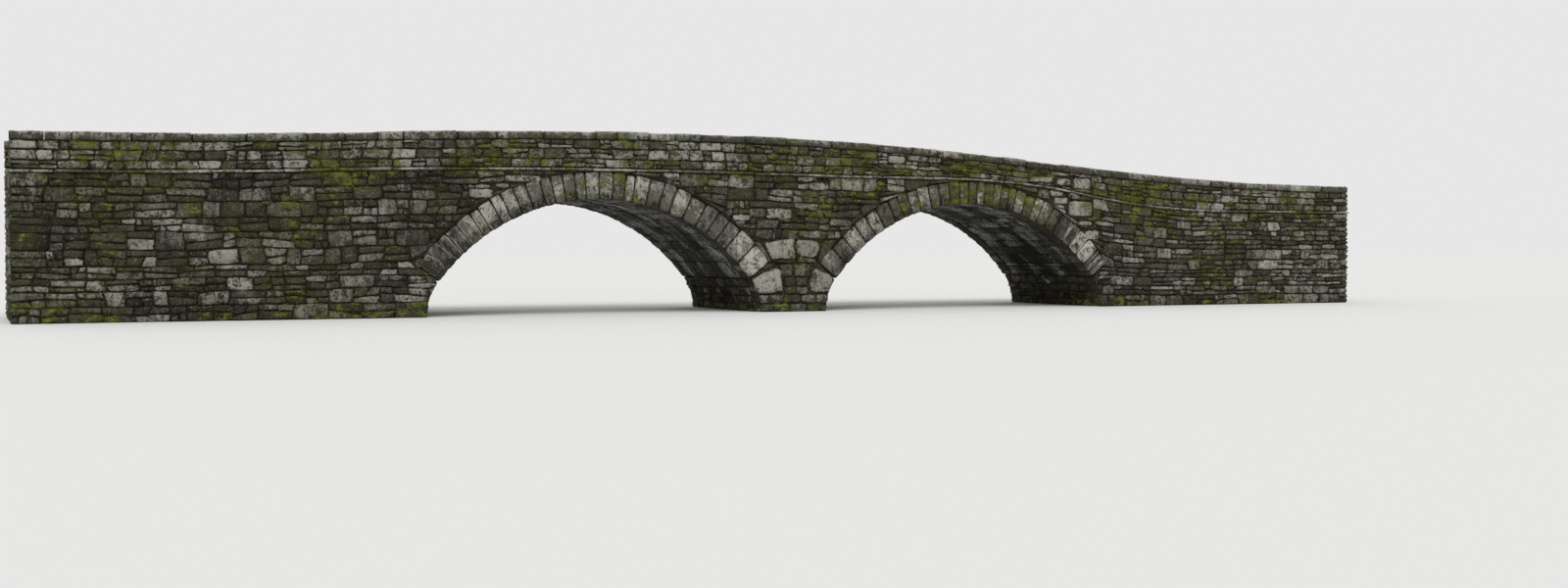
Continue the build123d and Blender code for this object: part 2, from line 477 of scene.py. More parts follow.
def makeBed(left, right, lower, upper, place, seed, farPlace=None, look=bedding):
    # mortar on a grid between two lines, sunk behind the stones by sunk + uneven waves, with a flat back
    # or a second uneven face
    ends = np.array([left, right])
    columns = max(look["fewest"], int((right - left) / look["spacing"]))
    rows = max(look["fewest"], int(np.max(upper(ends) - lower(ends)) / look["spacing"]))
    u, t = np.meshgrid(np.linspace(left, right, columns), np.linspace(0, 1, rows))
    v = between(lower(u), upper(u), t)
    h = -look["sunk"] + look["uneven"] * waves(np.stack([u, v], -1), look["waveLength"], seed)
    far = farPlace(u, v, h) if farPlace else place(u, v, np.full_like(h, -look["thick"]))
    return makeSolid(place(u, v, h), far)


def joinParts(parts):
    # one mesh's arrays out of many, with the vertex numbers moved on
    joined, loops, moved = {}, [], 0
    for part in parts:
        loops.append(part["loops"] + moved)
        moved += len(part["co"])
    for key in parts[0]:
        joined[key] = np.concatenate(loops if key == "loops" else [part[key] for part in parts])
    return joined


triangles = {}


def addObject(name, data):
    # a new object in the scene, at the origin
    thing = bpy.data.objects.new(name, data)
    bpy.context.scene.collection.objects.link(thing)
    return thing


def makePiece(name, parts, material, nodes, weather):
    # puts the arrays into a mesh, with the stones' tone and weathering as attributes; tone also holds painted
    # highlight and stain holds painted shade for some pieces
    data = joinParts(parts)
    data["co"] = np.clip(data["co"], np.array(cadBox[0]), np.array(cadBox[1]))
    mesh = bpy.data.meshes.new(name)
    mesh.vertices.add(len(data["co"]))
    mesh.vertices.foreach_set("co", data["co"].astype(np.float32).ravel())
    mesh.loops.add(len(data["loops"]))
    mesh.loops.foreach_set("vertex_index", data["loops"].astype(np.int32))
    mesh.polygons.add(len(data["sizes"]))
    mesh.polygons.foreach_set("loop_start", (np.cumsum(data["sizes"]) - data["sizes"]).astype(np.int32))
    mesh.polygons.foreach_set("use_smooth", data["smooth"])
    mesh.update(calc_edges=True)
    stain, moss = weather(data)
    values = {key: data[key] for key in ("tone", "rim", "stone")}
    for key, value in {**values, "stain": stain, "moss": moss}.items():
        layer = mesh.attributes.new(key, "FLOAT", "POINT")
        layer.data.foreach_set("value", np.broadcast_to(value, len(data["co"])).astype(np.float32))
    mesh.materials.append(material)
    piece = addObject(name, mesh)
    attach(piece, "root")
    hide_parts(*nodes)
    triangles[name] = int((data["sizes"] - 2).sum())


def cutLine(left, right, lengths, draws, shortest, rng):
    # places from left to right: random lengths added up, as far as shortest before the right end
    cuts = left + np.cumsum(rng.uniform(*lengths, draws))
    return np.concatenate([[left], cuts[cuts < right - shortest], [right]])


coursing = {
    "places": 9,  # at which the height between two lines is measured
    "waveLength": 2.4,
    "shortest": 0.6,  # last stone of a course, as a share of the least length
    "upperShare": (0.34, 0.66), "besideShare": (0.36, 0.64),  # where a cell is split
}


def layCourses(left, right, lower, upper, look, rng):
    # courses of random height between two lines, each cut into stones of random length: a corner stands at
    # lower + (upper - lower) level, and the level of a course waves along the wall
    places = np.linspace(left, right, coursing["places"])
    tall = float(np.max(upper(places) - lower(places)))
    heights = rng.uniform(*look["course"], int(tall / look["course"][0]) + 2)
    heights = heights[: int(np.searchsorted(np.cumsum(heights), tall)) + 1]
    levels = np.concatenate([[0], np.cumsum(heights)]) / heights.sum()
    last, least = len(levels) - 1, look["length"][0]
    draws = int((right - left) / least) + 2

    def corner(u, k):
        # the point at u on the joint under course k
        wave = waves(np.stack([u, 0 * u + k], -1), coursing["waveLength"], seeds["courses"] + k)
        level = levels[k] + wave * (0 if k in (0, last) else look["wave"] / tall)
        return np.stack([u, between(lower(u), upper(u), level)], -1)

    cells = []
    for k in range(last):
        cuts = cutLine(left, right, look["length"], draws, least * coursing["shortest"], rng)
        slant = rng.normal(0, look["slant"], (2, len(cuts)))
        slant[:, [0, -1]] = 0
        lowLine, highLine = corner(cuts + slant[0], k), corner(cuts + slant[1], k + 1)
        cells.append(np.stack([lowLine[:-1], lowLine[1:], highLine[1:], highLine[:-1]], 1))
    return splitCells(np.concatenate(cells), look, rng)


def splitCells(cells, look, rng):
    # a cell stays whole, or becomes two stones one on the other, or two over one, or one over two
    pick = rng.uniform(0, 1, len(cells))
    split = pick >= look["whole"]
    lowLeft, lowRight, highRight, highLeft = cells[split].transpose(1, 0, 2)
    leftShare, rightShare = rng.uniform(*coursing["upperShare"], (2, len(lowLeft), 1))
    midLeft, midRight = between(lowLeft, highLeft, leftShare), between(lowRight, highRight, rightShare)
    low = np.stack([lowLeft, lowRight, midRight, midLeft], 1)
    high = np.stack([midLeft, midRight, highRight, highLeft], 1)
    pair = pick[split] < look["whole"] + look["pair"]
    upper = ~pair & (rng.uniform(0, 1, len(pair)) < 0.5)
    lower = ~pair & ~upper
    out = [cells[~split], low[pair | upper], high[pair | lower]]
    for group in (high[upper], low[lower]):
        lowLeft, lowRight, highRight, highLeft = group.transpose(1, 0, 2)
        lowShare, highShare = rng.uniform(*coursing["besideShare"], (2, len(group), 1))
        foot, top = between(lowLeft, lowRight, lowShare), between(highLeft, highRight, highShare)
        out += [np.stack([lowLeft, foot, top, highLeft], 1), np.stack([foot, lowRight, highRight, top], 1)]
    return np.concatenate(out)


# Materials: procedural nodes on object coordinates and on the stones' own attributes

def addNode(tree, kind, values=None, **settings):
    # a new node with its settings, and with its inputs set or linked
    node = tree.nodes.new(kind)
    for key, value in settings.items():
        setattr(node, key, value)
    for key, value in (values or {}).items():
        if isinstance(value, bpy.types.NodeSocket):
            tree.links.new(value, node.inputs[key])
        else:
            node.inputs[key].default_value = value
    return node


def addUp(tree, *terms):
    # sum of factor * (value - middle) over terms of value, factor and middle
    total = None
    for value, factor, middle in terms:
        values = {0: value, 1: factor, 2: -factor * middle}
        scaled = addNode(tree, "ShaderNodeMath", values, operation="MULTIPLY_ADD").outputs[0]
        if total is None:
            total = scaled
        else:
            total = addNode(tree, "ShaderNodeMath", {0: total, 1: scaled}, operation="ADD").outputs[0]
    return total


def blendColours(tree, share, first, second, mode="MIX"):
    # first * (1 - share) + second * share, or first times second for the share in mode MULTIPLY
    values = {0: share, 6: first, 7: second}
    return addNode(tree, "ShaderNodeMix", values, data_type="RGBA", blend_type=mode).outputs[2]


def colour(r, g, b):
    # an opaque colour
    return (r, g, b, 1.0)


patterns = {  # scale, detail and roughness of the noises in a stone's finish
    "cloud": (1.1, 3, 0.55), "patch": (4.6, 5, 0.6), "mottle": (17.0, 5, 0.65), "grain": (60.0, 4, 0.7),
    "speck": (210.0, 2, 0.55), "streak": (10.0, 4, 0.6), "growth": (5.5, 6, 0.72), "spots": (23.0, 6, 0.75),
}
layers = {  # where each layer begins, where it is full, and how much of each pattern goes into it
    "light": (-0.35, 0.50, {"patch": 3.6, "mottle": 3.0, "grain": 1.6}),
    "crystal": (-0.15, 0.20, {"speck": 1.0}),
    "warm": (-0.02, 0.16, {"streak": 1.0}),
    "stain": (0.05, 1.00, {"patch": 4.4, "mottle": 3.2, "grain": 1.8}),
    "rim": (0.55, 1.10, {"grain": 0.6}),
    "mortar": (-0.08, 0.12, {"mottle": 1.0}),
    "film": (-0.15, 0.15, {"cloud": 1.0}),
    "moss": (0.45, 0.72, {"growth": 3.0, "cloud": 1.2, "grain": 0.9}),
    "freshMoss": (-0.10, 0.22, {"grain": 1.0, "growth": 0.9}),
}
relief = {"mottle": 1.3, "grain": 0.8, "speck": 0.12, "moss": 1.2}  # how much of each goes into the bump


def stoneMaterial(name, look):
    # stone by tone and mottling, with stain, lichen, dirty joints, mortar, a green film and moss laid over,
    # each as base * (1 - most * share) + coat * most * share
    material = bpy.data.materials.new(name)
    material.use_nodes = True
    tree = material.node_tree
    tree.nodes.clear()
    coords = addNode(tree, "ShaderNodeTexCoord").outputs["Object"]
    made, own = {}, {}
    for key, (scale, detail, rough) in patterns.items():
        vector = coords
        if key in look["drawnOut"]:
            stretch = {"Vector": coords, "Scale": look["drawnOut"][key]}
            vector = addNode(tree, "ShaderNodeMapping", stretch).outputs[0]
        values = {"Vector": vector, "Scale": scale, "Detail": detail, "Roughness": rough}
        made[key] = addNode(tree, "ShaderNodeTexNoise", values).outputs["Fac"]
    for key in ("tone", "stain", "moss", "rim", "stone"):
        own[key] = addNode(tree, "ShaderNodeAttribute", attribute_name=key).outputs["Fac"]

    def multiply(first, second):
        # first times second
        return addNode(tree, "ShaderNodeMath", {0: first, 1: second}, operation="MULTIPLY").outputs[0]

    def ease(value, low, high):
        # 0 below low, 1 above high, smooth between
        values = {"Value": value, "From Min": low, "From Max": high}
        return addNode(tree, "ShaderNodeMapRange", values, interpolation_type="SMOOTHSTEP").outputs[0]

    def share(layer, *terms):
        # how much of a layer shows: its terms and patterns added up, then eased
        low, high, mix = layers[layer]
        mixed = [(made[key], factor, 0.5) for key, factor in mix.items()]
        return ease(addUp(tree, *terms, *mixed), low, high)

    def cover(base, part, most, coat):
        # the coat over the base, by most times the part of it that shows
        return blendColours(tree, multiply(part, most), base, coat)

    # tone also brings the painted highlight on the upper side of coping and string stones
    light = share("light", (own["tone"], look["toneSpread"], 0.5))
    base = blendColours(tree, light, look["dark"], look["light"])
    crystal = blendColours(tree, share("crystal"), look["crystalDark"], look["crystalLight"])
    base = blendColours(tree, look["crystalMost"], base, crystal, "MULTIPLY")
    base = cover(base, share("warm"), look["warmMost"], look["warm"])
    # stain also brings the painted shade in the vaults and the pier's openings, and painted daylight at the
    # back of the vaults
    stained = share("stain", (own["stain"], 1, 0), (made["streak"], look["streaks"], 0.5))
    base = cover(base, stained, look["stainMost"], look["stain"])
    lichen = ease(made["spots"], look["lichenFrom"], look["lichenFrom"] + look["lichenEdge"])
    base = cover(base, lichen, look["lichenMost"], look["lichen"])
    base = cover(base, share("rim", (own["rim"], 1, 0)), look["rimDark"], look["jointDirt"])
    mortar = blendColours(tree, share("mortar"), look["jointDirt"], look["mortar"])
    base = blendColours(tree, own["stone"], mortar, base)
    base = cover(base, share("film"), look["filmMost"], look["film"])
    normal = addNode(tree, "ShaderNodeNewGeometry").outputs["Normal"]
    up = addNode(tree, "ShaderNodeSeparateXYZ", {0: normal}).outputs["Z"]
    mossy = share("moss", (own["moss"], 1, 0), (up, look["mossUp"], 0))
    moss = blendColours(tree, share("freshMoss"), look["mossDark"], look["mossLight"])
    base = cover(base, mossy, look["mossMost"], moss)
    made["moss"] = multiply(mossy, made["grain"])
    height = addUp(tree, *((made[key], factor, 0) for key, factor in relief.items()))
    values = {"Height": height, "Strength": look["bump"], "Distance": look["bumpDepth"]}
    bump = addNode(tree, "ShaderNodeBump", values).outputs[0]
    values = {"Base Color": base, "Normal": bump}
    values |= {"Roughness": look["roughness"], "Specular IOR Level": look["gloss"]}
    surface = addNode(tree, "ShaderNodeBsdfPrincipled", values)
    addNode(tree, "ShaderNodeOutputMaterial", {"Surface": surface.outputs[0]})
    return material


weathered = {  # the finish that all the stones start from
    "dark": colour(0.060, 0.053, 0.035), "light": colour(0.475, 0.460, 0.400), "toneSpread": 1.1,
    "crystalDark": colour(0.7, 0.7, 0.7), "crystalLight": colour(1.3, 1.29, 1.25), "crystalMost": 0.85,
    "warm": colour(0.125, 0.100, 0.058), "warmMost": 0.4,
    "stain": colour(0.013, 0.011, 0.007), "stainMost": 0.95, "streaks": 1.2,
    "lichen": colour(0.46, 0.46, 0.41), "lichenMost": 0.7, "lichenFrom": 0.565, "lichenEdge": 0.10,
    "jointDirt": colour(0.013, 0.011, 0.007), "rimDark": 0.65, "mortar": colour(0.070, 0.062, 0.042),
    "film": colour(0.060, 0.058, 0.016), "filmMost": 0.36,
    "mossDark": colour(0.028, 0.032, 0.007), "mossLight": colour(0.315, 0.345, 0.070), "mossMost": 0.92,
    "mossUp": 0.25, "bump": 1.0, "bumpDepth": 0.035, "roughness": 0.9, "gloss": 0.15,
    "drawnOut": {"streak": (1.0, 1.0, 0.2), "growth": (0.7, 0.7, 1.25)},  # patterns that are stretched
}
ringGranite = stoneMaterial("ring granite", {
    **weathered, "dark": colour(0.125, 0.118, 0.096), "light": colour(0.60, 0.59, 0.53), "rimDark": 0.7,
    "mossUp": 0.1, "streaks": 1.4, "filmMost": 0.15, "toneSpread": 0.9,
})
wallRubble = stoneMaterial("wall rubble", weathered)
pierGranite = stoneMaterial("pier granite", {
    **weathered, "dark": colour(0.055, 0.051, 0.037), "light": colour(0.50, 0.49, 0.43), "filmMost": 0.22,
})
copingGranite = stoneMaterial("coping granite", {
    **weathered, "dark": colour(0.065, 0.060, 0.046), "light": colour(0.54, 0.53, 0.47), "mossUp": 0.14,
})
vaultStone = stoneMaterial("vault stone", {
    **weathered, "dark": colour(0.024, 0.024, 0.021), "light": colour(0.480, 0.480, 0.445), "toneSpread": 0.6,
    "warm": colour(0.030, 0.026, 0.018), "stain": colour(0.005, 0.005, 0.004), "rimDark": 0.3,
    "lichen": colour(0.16, 0.16, 0.145), "lichenFrom": 0.64, "mortar": colour(0.018, 0.017, 0.014),
    "mossUp": 0.0, "filmMost": 0.1, "drawnOut": {**weathered["drawnOut"], "patch": (0.25, 1.3, 0.25)},
})
roadGravel = stoneMaterial("road gravel", {
    **weathered, "dark": colour(0.10, 0.09, 0.068), "light": colour(0.30, 0.28, 0.225), "lichenFrom": 0.56,
    "mossUp": -0.1, "bumpDepth": 0.03,
})
print("materials: 6")


# Weathering by place, with painted shade and painted daylight in the vaults and the pier's openings: each
# function gives how dark and how mossy every point is. In a dictionary, stain and moss are a level, how much
# it changes from stone to stone, and the height, length and seed of its waves.

def uneven(co, wave):
    # height times waves of a length and a seed
    height, size, seed = wave
    return height * waves(co, size, seed)


def patchy(data, look, key):
    # level + spread (the stone's own chance - 0.5) + the waves, where there are any
    level, spread, *wave = look[key]
    return level + spread * (data["chance"] - 0.5) + (uneven(data["co"], wave) if wave else 0)


dampStrip = {"top": 0.55, "fade": 0.6, "waves": (0.25, 1.5)}  # along the foot of the stonework


def dampFoot(co, seed):
    # smooth step of (top - z + waves) from 0 to fade
    top = dampStrip["top"] + uneven(co, (*dampStrip["waves"], seed))
    return smoothStep(top - co[:, 2], 0, dampStrip["fade"])


# Places on the walls: x, z, half length, half height, how much darker and how much mossier
standouts = [
    (-0.35, 1.55, 0.35, 0.20, -0.3, -0.4), (0.36, 1.58, 0.35, 0.20, -0.4, -0.6),
    (-7.5, 2.86, 0.9, 0.22, -0.55, -0.1), (7.9, 2.55, 0.6, 0.45, -0.4, -0.1),
    (6.9, 3.18, 0.8, 0.25, -0.35, -0.1), (0.3, 2.95, 0.9, 0.25, -0.3, 0.0),
    (-1.4, 2.35, 0.5, 0.25, -0.2, 0.0), (-4.0, 3.95, 2.0, 0.15, -0.2, 0.1),
    (0.0, 2.15, 0.9, 0.35, 0.2, 0.15), (-9.3, 1.6, 0.8, 1.2, 0.3, 0.0), (9.6, 1.6, 1.0, 1.4, 0.1, 0.25),
    (-1.7, 3.22, 0.8, 0.10, 0.0, 0.4), (2.9, 3.46, 0.9, 0.10, 0.0, 0.6), (0.3, 2.38, 0.8, 0.12, 0.0, 0.35),
    (-8.6, 3.40, 1.0, 0.25, 0.0, 0.4), (-0.2, 1.95, 0.6, 0.08, 0.0, 0.35), (-3.2, 3.5, 0.5, 0.1, 0.0, 0.35),
    (-6.3, 3.55, 1.2, 0.12, 0.0, 0.3), (4.4, 3.42, 0.6, 0.08, 0.0, 0.4), (10.5, 2.4, 1.6, 0.8, 0.0, 0.25),
    (9.8, 3.1, 1.8, 0.35, 0.1, 0.35), (5.5, 3.6, 2.2, 0.15, 0.1, 0.35),
]


def standingOut(co):
    # sum over the places of e^(-(dx / half length)^2 - (dz / half height)^2) times the change
    x, z, wide, high, darker, mossier = np.array(standouts).T
    share = np.exp(-((co[:, :1] - x) / wide) ** 2 - ((co[:, 2:] - z) / high) ** 2)
    return share @ darker, share @ mossier


wallWeathering = {
    "stain": (0.34, 0.80, 0.40, 2.1, 9), "moss": (0.08, 0.16, 0.20, 3.2, 5),
    "footSeed": 7, "footStain": 0.25, "footMoss": 0.3,
    "underString": 0.28, "underReach": 0.45,  # moss below the string course
}


def wallWeather(data):
    # patches, a damp foot, moss under the string course as e^(-depth / reach), and the standouts
    look, co = wallWeathering, data["co"]
    darker, mossier = standingOut(co)
    foot = dampFoot(co, look["footSeed"])
    under = np.exp((co[:, 2] - stringTop(co[:, 0])) / look["underReach"])
    moss = patchy(data, look, "moss") + look["footMoss"] * foot + look["underString"] * under
    return patchy(data, look, "stain") + look["footStain"] * foot + darker, moss + mossier


parapetWeathering = {
    "stain": (-0.02, 0.62, 0.30, 1.9, 22), "moss": (0.26, 0.15, 0.26, 2.6, 21),
    "overString": 0.2, "overReach": 0.15,  # moss above the string course
}


def parapetWeather(data):
    # patches, moss above the string course as e^(-height / reach), and the standouts
    look, co = parapetWeathering, data["co"]
    darker, mossier = standingOut(co)
    over = np.exp((stringTop(co[:, 0]) - co[:, 2]) / look["overReach"])
    moss = patchy(data, look, "moss") + look["overString"] * over
    return patchy(data, look, "stain") + darker, moss + mossier


copingWeathering = {
    "stain": (0.18, 0.60, 0.25, 1.5, 32), "moss": (0.14, 0.15, 0.25, 2.2, 31),
    "cleanTop": 0.45, "cleanEdge": (0.4, 0.8), "bareTop": 0.2, "bareEdge": (0.3, 0.9),  # less stain and moss
}


def copingWeather(data):
    # patches, less of both by smooth steps towards the top
    look, up = copingWeathering, data["across"]
    stain = patchy(data, look, "stain") - look["cleanTop"] * smoothStep(up, *look["cleanEdge"])
    return stain, patchy(data, look, "moss") - look["bareTop"] * smoothStep(up, *look["bareEdge"])


stringWeathering = {"stain": (0.12, 0.5, 0.25, 1.7, 42), "moss": (0.36, 0.2, 0.42, 2.4, 41)}


def stringWeather(data):
    # patches only
    return patchy(data, stringWeathering, "stain"), patchy(data, stringWeathering, "moss")


# Age is how dark the ring stones are at angles in degrees, from the right springing round to the left one.
# Tide is how much darker they are there below a line across each stone.
ringWeathering = {
    "left": {
        "age": [(37, 0.0), (47, 0.05), (56, 0.40), (66, 0.25), (78, 0.10), (92, 0.12), (104, 0.30),
                (114, 0.02), (120, 0.15), (125, 0.75), (131, 1.15), (143, 1.3)],
        "tide": [(37, 0.2), (60, 0.3), (75, 0.2), (96, 0.3), (106, 0.7), (122, 0.8), (128, 0.3), (143, 0.0)],
        "mossAt": (88, 11, 0.66),  # middle and reach in degrees, and how much
        "paleJoints": (120, 150),  # between these angles
    },
    "right": {
        "age": [(37, 0.30), (46, 0.15), (50, 0.20), (53, 1.15), (59, 1.3), (63, 0.3), (68, 0.0), (90, 0.0),
                (104, 0.4), (118, 0.62), (130, 0.45), (143, 0.1)],
        "tide": [(37, 0.1), (46, 0.3), (55, 0.2), (64, 0.7), (74, 0.6), (100, 0.3), (143, 0.3)],
        "mossAt": (86, 22, 0.77),
        "paleJoints": (44, 54),
    },
    "fresh": -0.12, "ageStain": 0.85,  # stain of a stone of no age, and what age adds
    "spread": 1.1, "tideSpread": 0.8, "ageSpread": 0.7,  # from stone to stone, less by tide and by age
    "tideWaves": (0.25, 0.6, 53), "tideEdge": (0.10, 0.45),
    "tideStain": 1.3, "tideLift": 0.4, "tideTone": 0.3,  # darker below the line, paler above it
    "streaks": (1.0, 0.5, 55), "drawnOut": 0.2, "streakStain": 0.45, "streakMoss": 0.4,  # along the radius
    "mossWaves": (0.12, 1.1, 51), "mossSpread": 0.12,
    "paleReach": 0.95, "paleDepth": 0.02, "paleTone": 0.9, "paleStain": 1.4,
    "paleRims": ((0.2, 0.25), (0.8, 0.97)),  # a share of the paleness from each place in the rim on
}


def ringWeather(side):
    # the weathering of one side's rings: age and tide by angle, streaks along the radius, moss as
    # e^(-((angle - middle) / reach)^2), and pale mortar smeared over the rims between two angles
    look = {**ringWeathering, **ringWeathering[side]}

    def weather(data):
        co, chance = data["co"], data["chance"] - 0.5
        fromCentre = co[:, [0, 2]] - np.array([arches[side]["x"], curveCentre])
        angle = np.degrees(np.arctan2(fromCentre[:, 1], fromCentre[:, 0]))
        unrolled = np.stack([np.radians(angle) * archRadius, look["drawnOut"] * lengthOf(fromCentre)], -1)
        streaks = uneven(unrolled, look["streaks"])
        age = np.interp(angle, *np.array(look["age"]).T)
        tide = np.interp(angle, *np.array(look["tide"]).T)
        below = smoothStep(uneven(co, look["tideWaves"]) - data["across"], *look["tideEdge"])
        spread = look["spread"] - look["tideSpread"] * tide
        spread = spread * (1 - look["ageSpread"] * np.minimum(age, 1) ** 2)
        stain = look["fresh"] + look["ageStain"] * age + spread * chance - look["streakStain"] * streaks
        stain = stain + tide * (look["tideStain"] * below - look["tideLift"])
        middle, reach, most = look["mossAt"]
        bell = np.exp(-((angle - middle) / reach) ** 2)
        moss = bell * (most + look["streakMoss"] * streaks) + look["mossSpread"] * chance
        low, high = look["paleJoints"]
        pale = (angle > low) & (angle < high) & (np.abs(data["across"]) < look["paleReach"])
        pale = pale & (np.abs(co[:, 1]) > halfWidth - look["paleDepth"]) & (data["stone"] > 0)
        pale = pale * sum(part * (data["rim"] > rim) for part, rim in look["paleRims"])
        data["tone"] = data["tone"] + look["paleTone"] * pale + look["tideTone"] * tide * (1 - below)
        data["rim"] = data["rim"] * (1 - pale)
        return stain - look["paleStain"] * pale, moss + uneven(co, look["mossWaves"])
    return weather


pierWeathering = {
    "stain": (0.32, 0.8), "moss": (0.08, 0.2, 0.15, 1.4, 62),
    "footSeed": 61, "footStain": 0.33, "footMoss": 0.50,
    "insidePaintedShade": 0.5, "insideEdge": (0.1, 0.4),  # painted shade: darker in from the two faces, inside the openings
}


def pierWeather(data):
    # patches, a damp foot, and painted shade darker in from the faces
    look, co = pierWeathering, data["co"]
    foot = dampFoot(co, look["footSeed"])
    inside = smoothStep(halfWidth - np.abs(co[:, 1]), *look["insideEdge"])
    # painted shade in the openings goes into the stain layer beside the real patches and damp
    stain = patchy(data, look, "stain") + look["footStain"] * foot + look["insidePaintedShade"] * inside
    return stain, patchy(data, look, "moss") + look["footMoss"] * foot


vaultWeathering = {
    "stain": (0.08, 0.25), "bands": (1.1, 1.3, 71), "drawnOut": (0.3, 1.3, 0.3),  # bands along the curve
    "sideStain": 0.19,  # more on the right, less on the left
    # painted shade: the vault is darker low down, from lowerTop to lowerFade below it
    "lowerPaintedShade": 0.55, "lowerTop": 1.9, "lowerFade": 0.8,
    "farPaintedDaylight": 0.8, "farEdge": (0.6, 1.7),  # painted daylight: lighter instead of darker low down at the back
    "moss": -0.25, "footMoss": 0.35, "footTop": 1.0,
}


def vaultWeather(data):
    # patches and bands, painted shade darker low down except at the back, where painted daylight makes it
    # lighter, with a little moss at the foot
    look, co = vaultWeathering, data["co"]
    lower = smoothStep(look["lowerTop"] - co[:, 2], 0, look["lowerFade"])
    farEnd = smoothStep(co[:, 1], *look["farEdge"])
    stain = patchy(data, look, "stain") + uneven(co * np.array(look["drawnOut"]), look["bands"])
    stain = stain + look["sideStain"] * np.sign(co[:, 0])
    moss = look["moss"] + look["footMoss"] * smoothStep(look["footTop"] - co[:, 2], 0, look["footTop"])
    # the painted shade low down, with painted daylight at the back, goes into the stain layer
    return stain + lower * (look["lowerPaintedShade"] - look["farPaintedDaylight"] * farEnd), moss


roadWeathering = {
    "stain": (0.1, 0.0, 0.15, 2.0, 82), "moss": (-0.1, 0.0, 0.2, 1.2, 81),
    "verge": 0.55, "vergeEdge": (0.72, 1.0),  # moss beside the ruts
    "middle": 0.25, "middleWidth": 0.35,  # moss between them
}


def roadWeather(data):
    # patches, with moss at the verges and, as e^(-(y / width)^2), between the ruts
    look, y = roadWeathering, data["co"][:, 1]
    verge = look["verge"] * smoothStep(np.abs(y) / parapetInside, *look["vergeEdge"])
    middle = look["middle"] * np.exp(-(y / look["middleWidth"]) ** 2)
    return patchy(data, look, "stain"), patchy(data, look, "moss") + verge + middle


# Ring stones: long wedges about the curve's centre

ringStones = {
    "count": {"left": 29, "right": 32}, "spread": (0.74, 1.28), "lengths": (-0.02, 0.050),
    "widening": {"left": (0.60, 0.05), "right": (0.75, 0.75)},  # at the right springing and at the left one
    "feet": {"left": (), "right": (0.36, 0.30, 0.34)},  # thin stones above the right springing
    "crown": 0.32, "mostAtCrown": 0.018,  # reach of the crown in arch radii, most extra length there
    "steps": 7, "chamfer": 0.020, "joint": 0.019, "round": 0.018, "wobble": 0.004, "belly": 0.012,
    "proud": 0.020, "tilt": 0.006, "rough": 0.0035, "rim": 0.012, "most": 0.045, "sides": (0.10, 0.43),
    "sideRim": 1.0, "pale": False,
}
ringInset = 0.02  # of mortar from the edges of a ring and from its back
ringBedding = {
    **bedding, "sunk": 0.035, "uneven": 0.006, "thick": bridge["ringWidth"] - ringInset, "spacing": 0.1,
}


def ringJoints(side):
    # places of the joints along the curve: random widths added up from the right springing to the left one,
    # where the widths grow by widening t^2 from the crown at t = 0 to a springing at t = 1
    rng = np.random.default_rng(seeds["rings"] + len(side))
    count, feet = ringStones["count"][side], ringStones["feet"][side]
    atRight, atLeft = ringStones["widening"][side]
    t = np.linspace(-1, 1, count)
    widths = rng.uniform(*ringStones["spread"], count) * (1 + np.where(t < 0, atRight, atLeft) * t**2)
    widths[: len(feet)] *= feet
    steps = np.concatenate([[0], np.cumsum(widths)])
    return archRadius * (springAngle + (math.pi - 2 * springAngle) * steps / steps[-1])


crownPlace = archRadius * math.pi / 2
for side, arch in arches.items():
    joints = ringJoints(side)
    low, high = joints[:-1], joints[1:]
    middle = (low + high) / 2
    atCrown = np.abs(middle - crownPlace) < ringStones["crown"] * archRadius
    extrados = archRadius + arch["depth"]
    edges = levelAt(archRadius + ringInset), levelAt(extrados - ringInset)
    for number, (face, sign) in enumerate(faceSigns.items()):
        rng = np.random.default_rng(seeds["ringFaces"] + 2 * len(side) + number)
        outer = extrados + rng.uniform(*ringStones["lengths"], len(low))
        outer = np.where(atCrown, np.minimum(outer, extrados + ringStones["mostAtCrown"]), outer)
        inner = np.full(len(low), archRadius)
        corners = [(low, inner), (high, inner), (high, outer), (low, outer)]
        cells = np.stack([np.stack(corner, -1) for corner in corners], 1)
        place = ringPlace(arch["x"], sign * halfWidth, sign)
        for half, ends in (("right", (joints[0], crownPlace)), ("left", (crownPlace, joints[-1]))):
            stones = makeStones(cells[(middle >= ends[0]) & (middle < ends[1])], place, ringStones, rng)
            bed = makeBed(*ends, *edges, place, seeds["ringMortar"], look=ringBedding)
            name = f"{side}_arch_ring_{face}_{half}"
            nodes = [name + "_half"]
            makePiece(name + "_stones", [bed, stones], ringGranite, nodes, ringWeather(side))
counts = ringStones["count"]
print("rings: 4, of", counts["left"], "stones on the left and", counts["right"], "on the right")


# Vault stones: long and low, in courses that follow the ring's joints

vaultStones = {
    "length": (0.55, 1.45), "draws": 12, "shortest": 0.25,  # lengths drawn, more than a course needs
    "steps": 5, "chamfer": 0.014, "joint": 0.010, "round": 0.015, "wobble": 0.006, "belly": 0.006,
    "proud": 0.012, "tilt": 0.005, "rough": 0.005, "rim": 0.008, "most": 0.029, "sides": (0.07,),
    "sideRim": 1.0, "pale": False,
}
vaultBedding = {**bedding, "sunk": 0.018, "uneven": 0.006, "thick": 0.40}
for side, arch in arches.items():
    joints = ringJoints(side)
    rng = np.random.default_rng(seeds["vaults"] + len(side))
    lengths, draws, shortest = (vaultStones[key] for key in ("length", "draws", "shortest"))
    cells = []
    for low, high in zip(joints[:-1], joints[1:]):
        cuts = cutLine(-ringInside, ringInside, lengths, draws, shortest, rng)
        lowLine, highLine = np.stack([0 * cuts + low, cuts], -1), np.stack([0 * cuts + high, cuts], -1)
        cells.append(np.stack([lowLine[:-1], highLine[:-1], highLine[1:], lowLine[1:]], 1))
    place = vaultPlace(arch["x"], archRadius + bridge["vaultRecess"])
    stones = makeStones(np.concatenate(cells), place, vaultStones, rng)
    edges, nodes = (levelAt(-ringInside), levelAt(ringInside)), [f"{side}_vault"]
    bed = makeBed(joints[0], joints[-1], *edges, place, seeds["vaultMortar"], look=vaultBedding)
    makePiece(f"{side}_vault_stones", [bed, stones], vaultStone, nodes, vaultWeather)
print("vaults: 2")


# Walls: one run of rubble from end to end on each face, shared out among the pieces

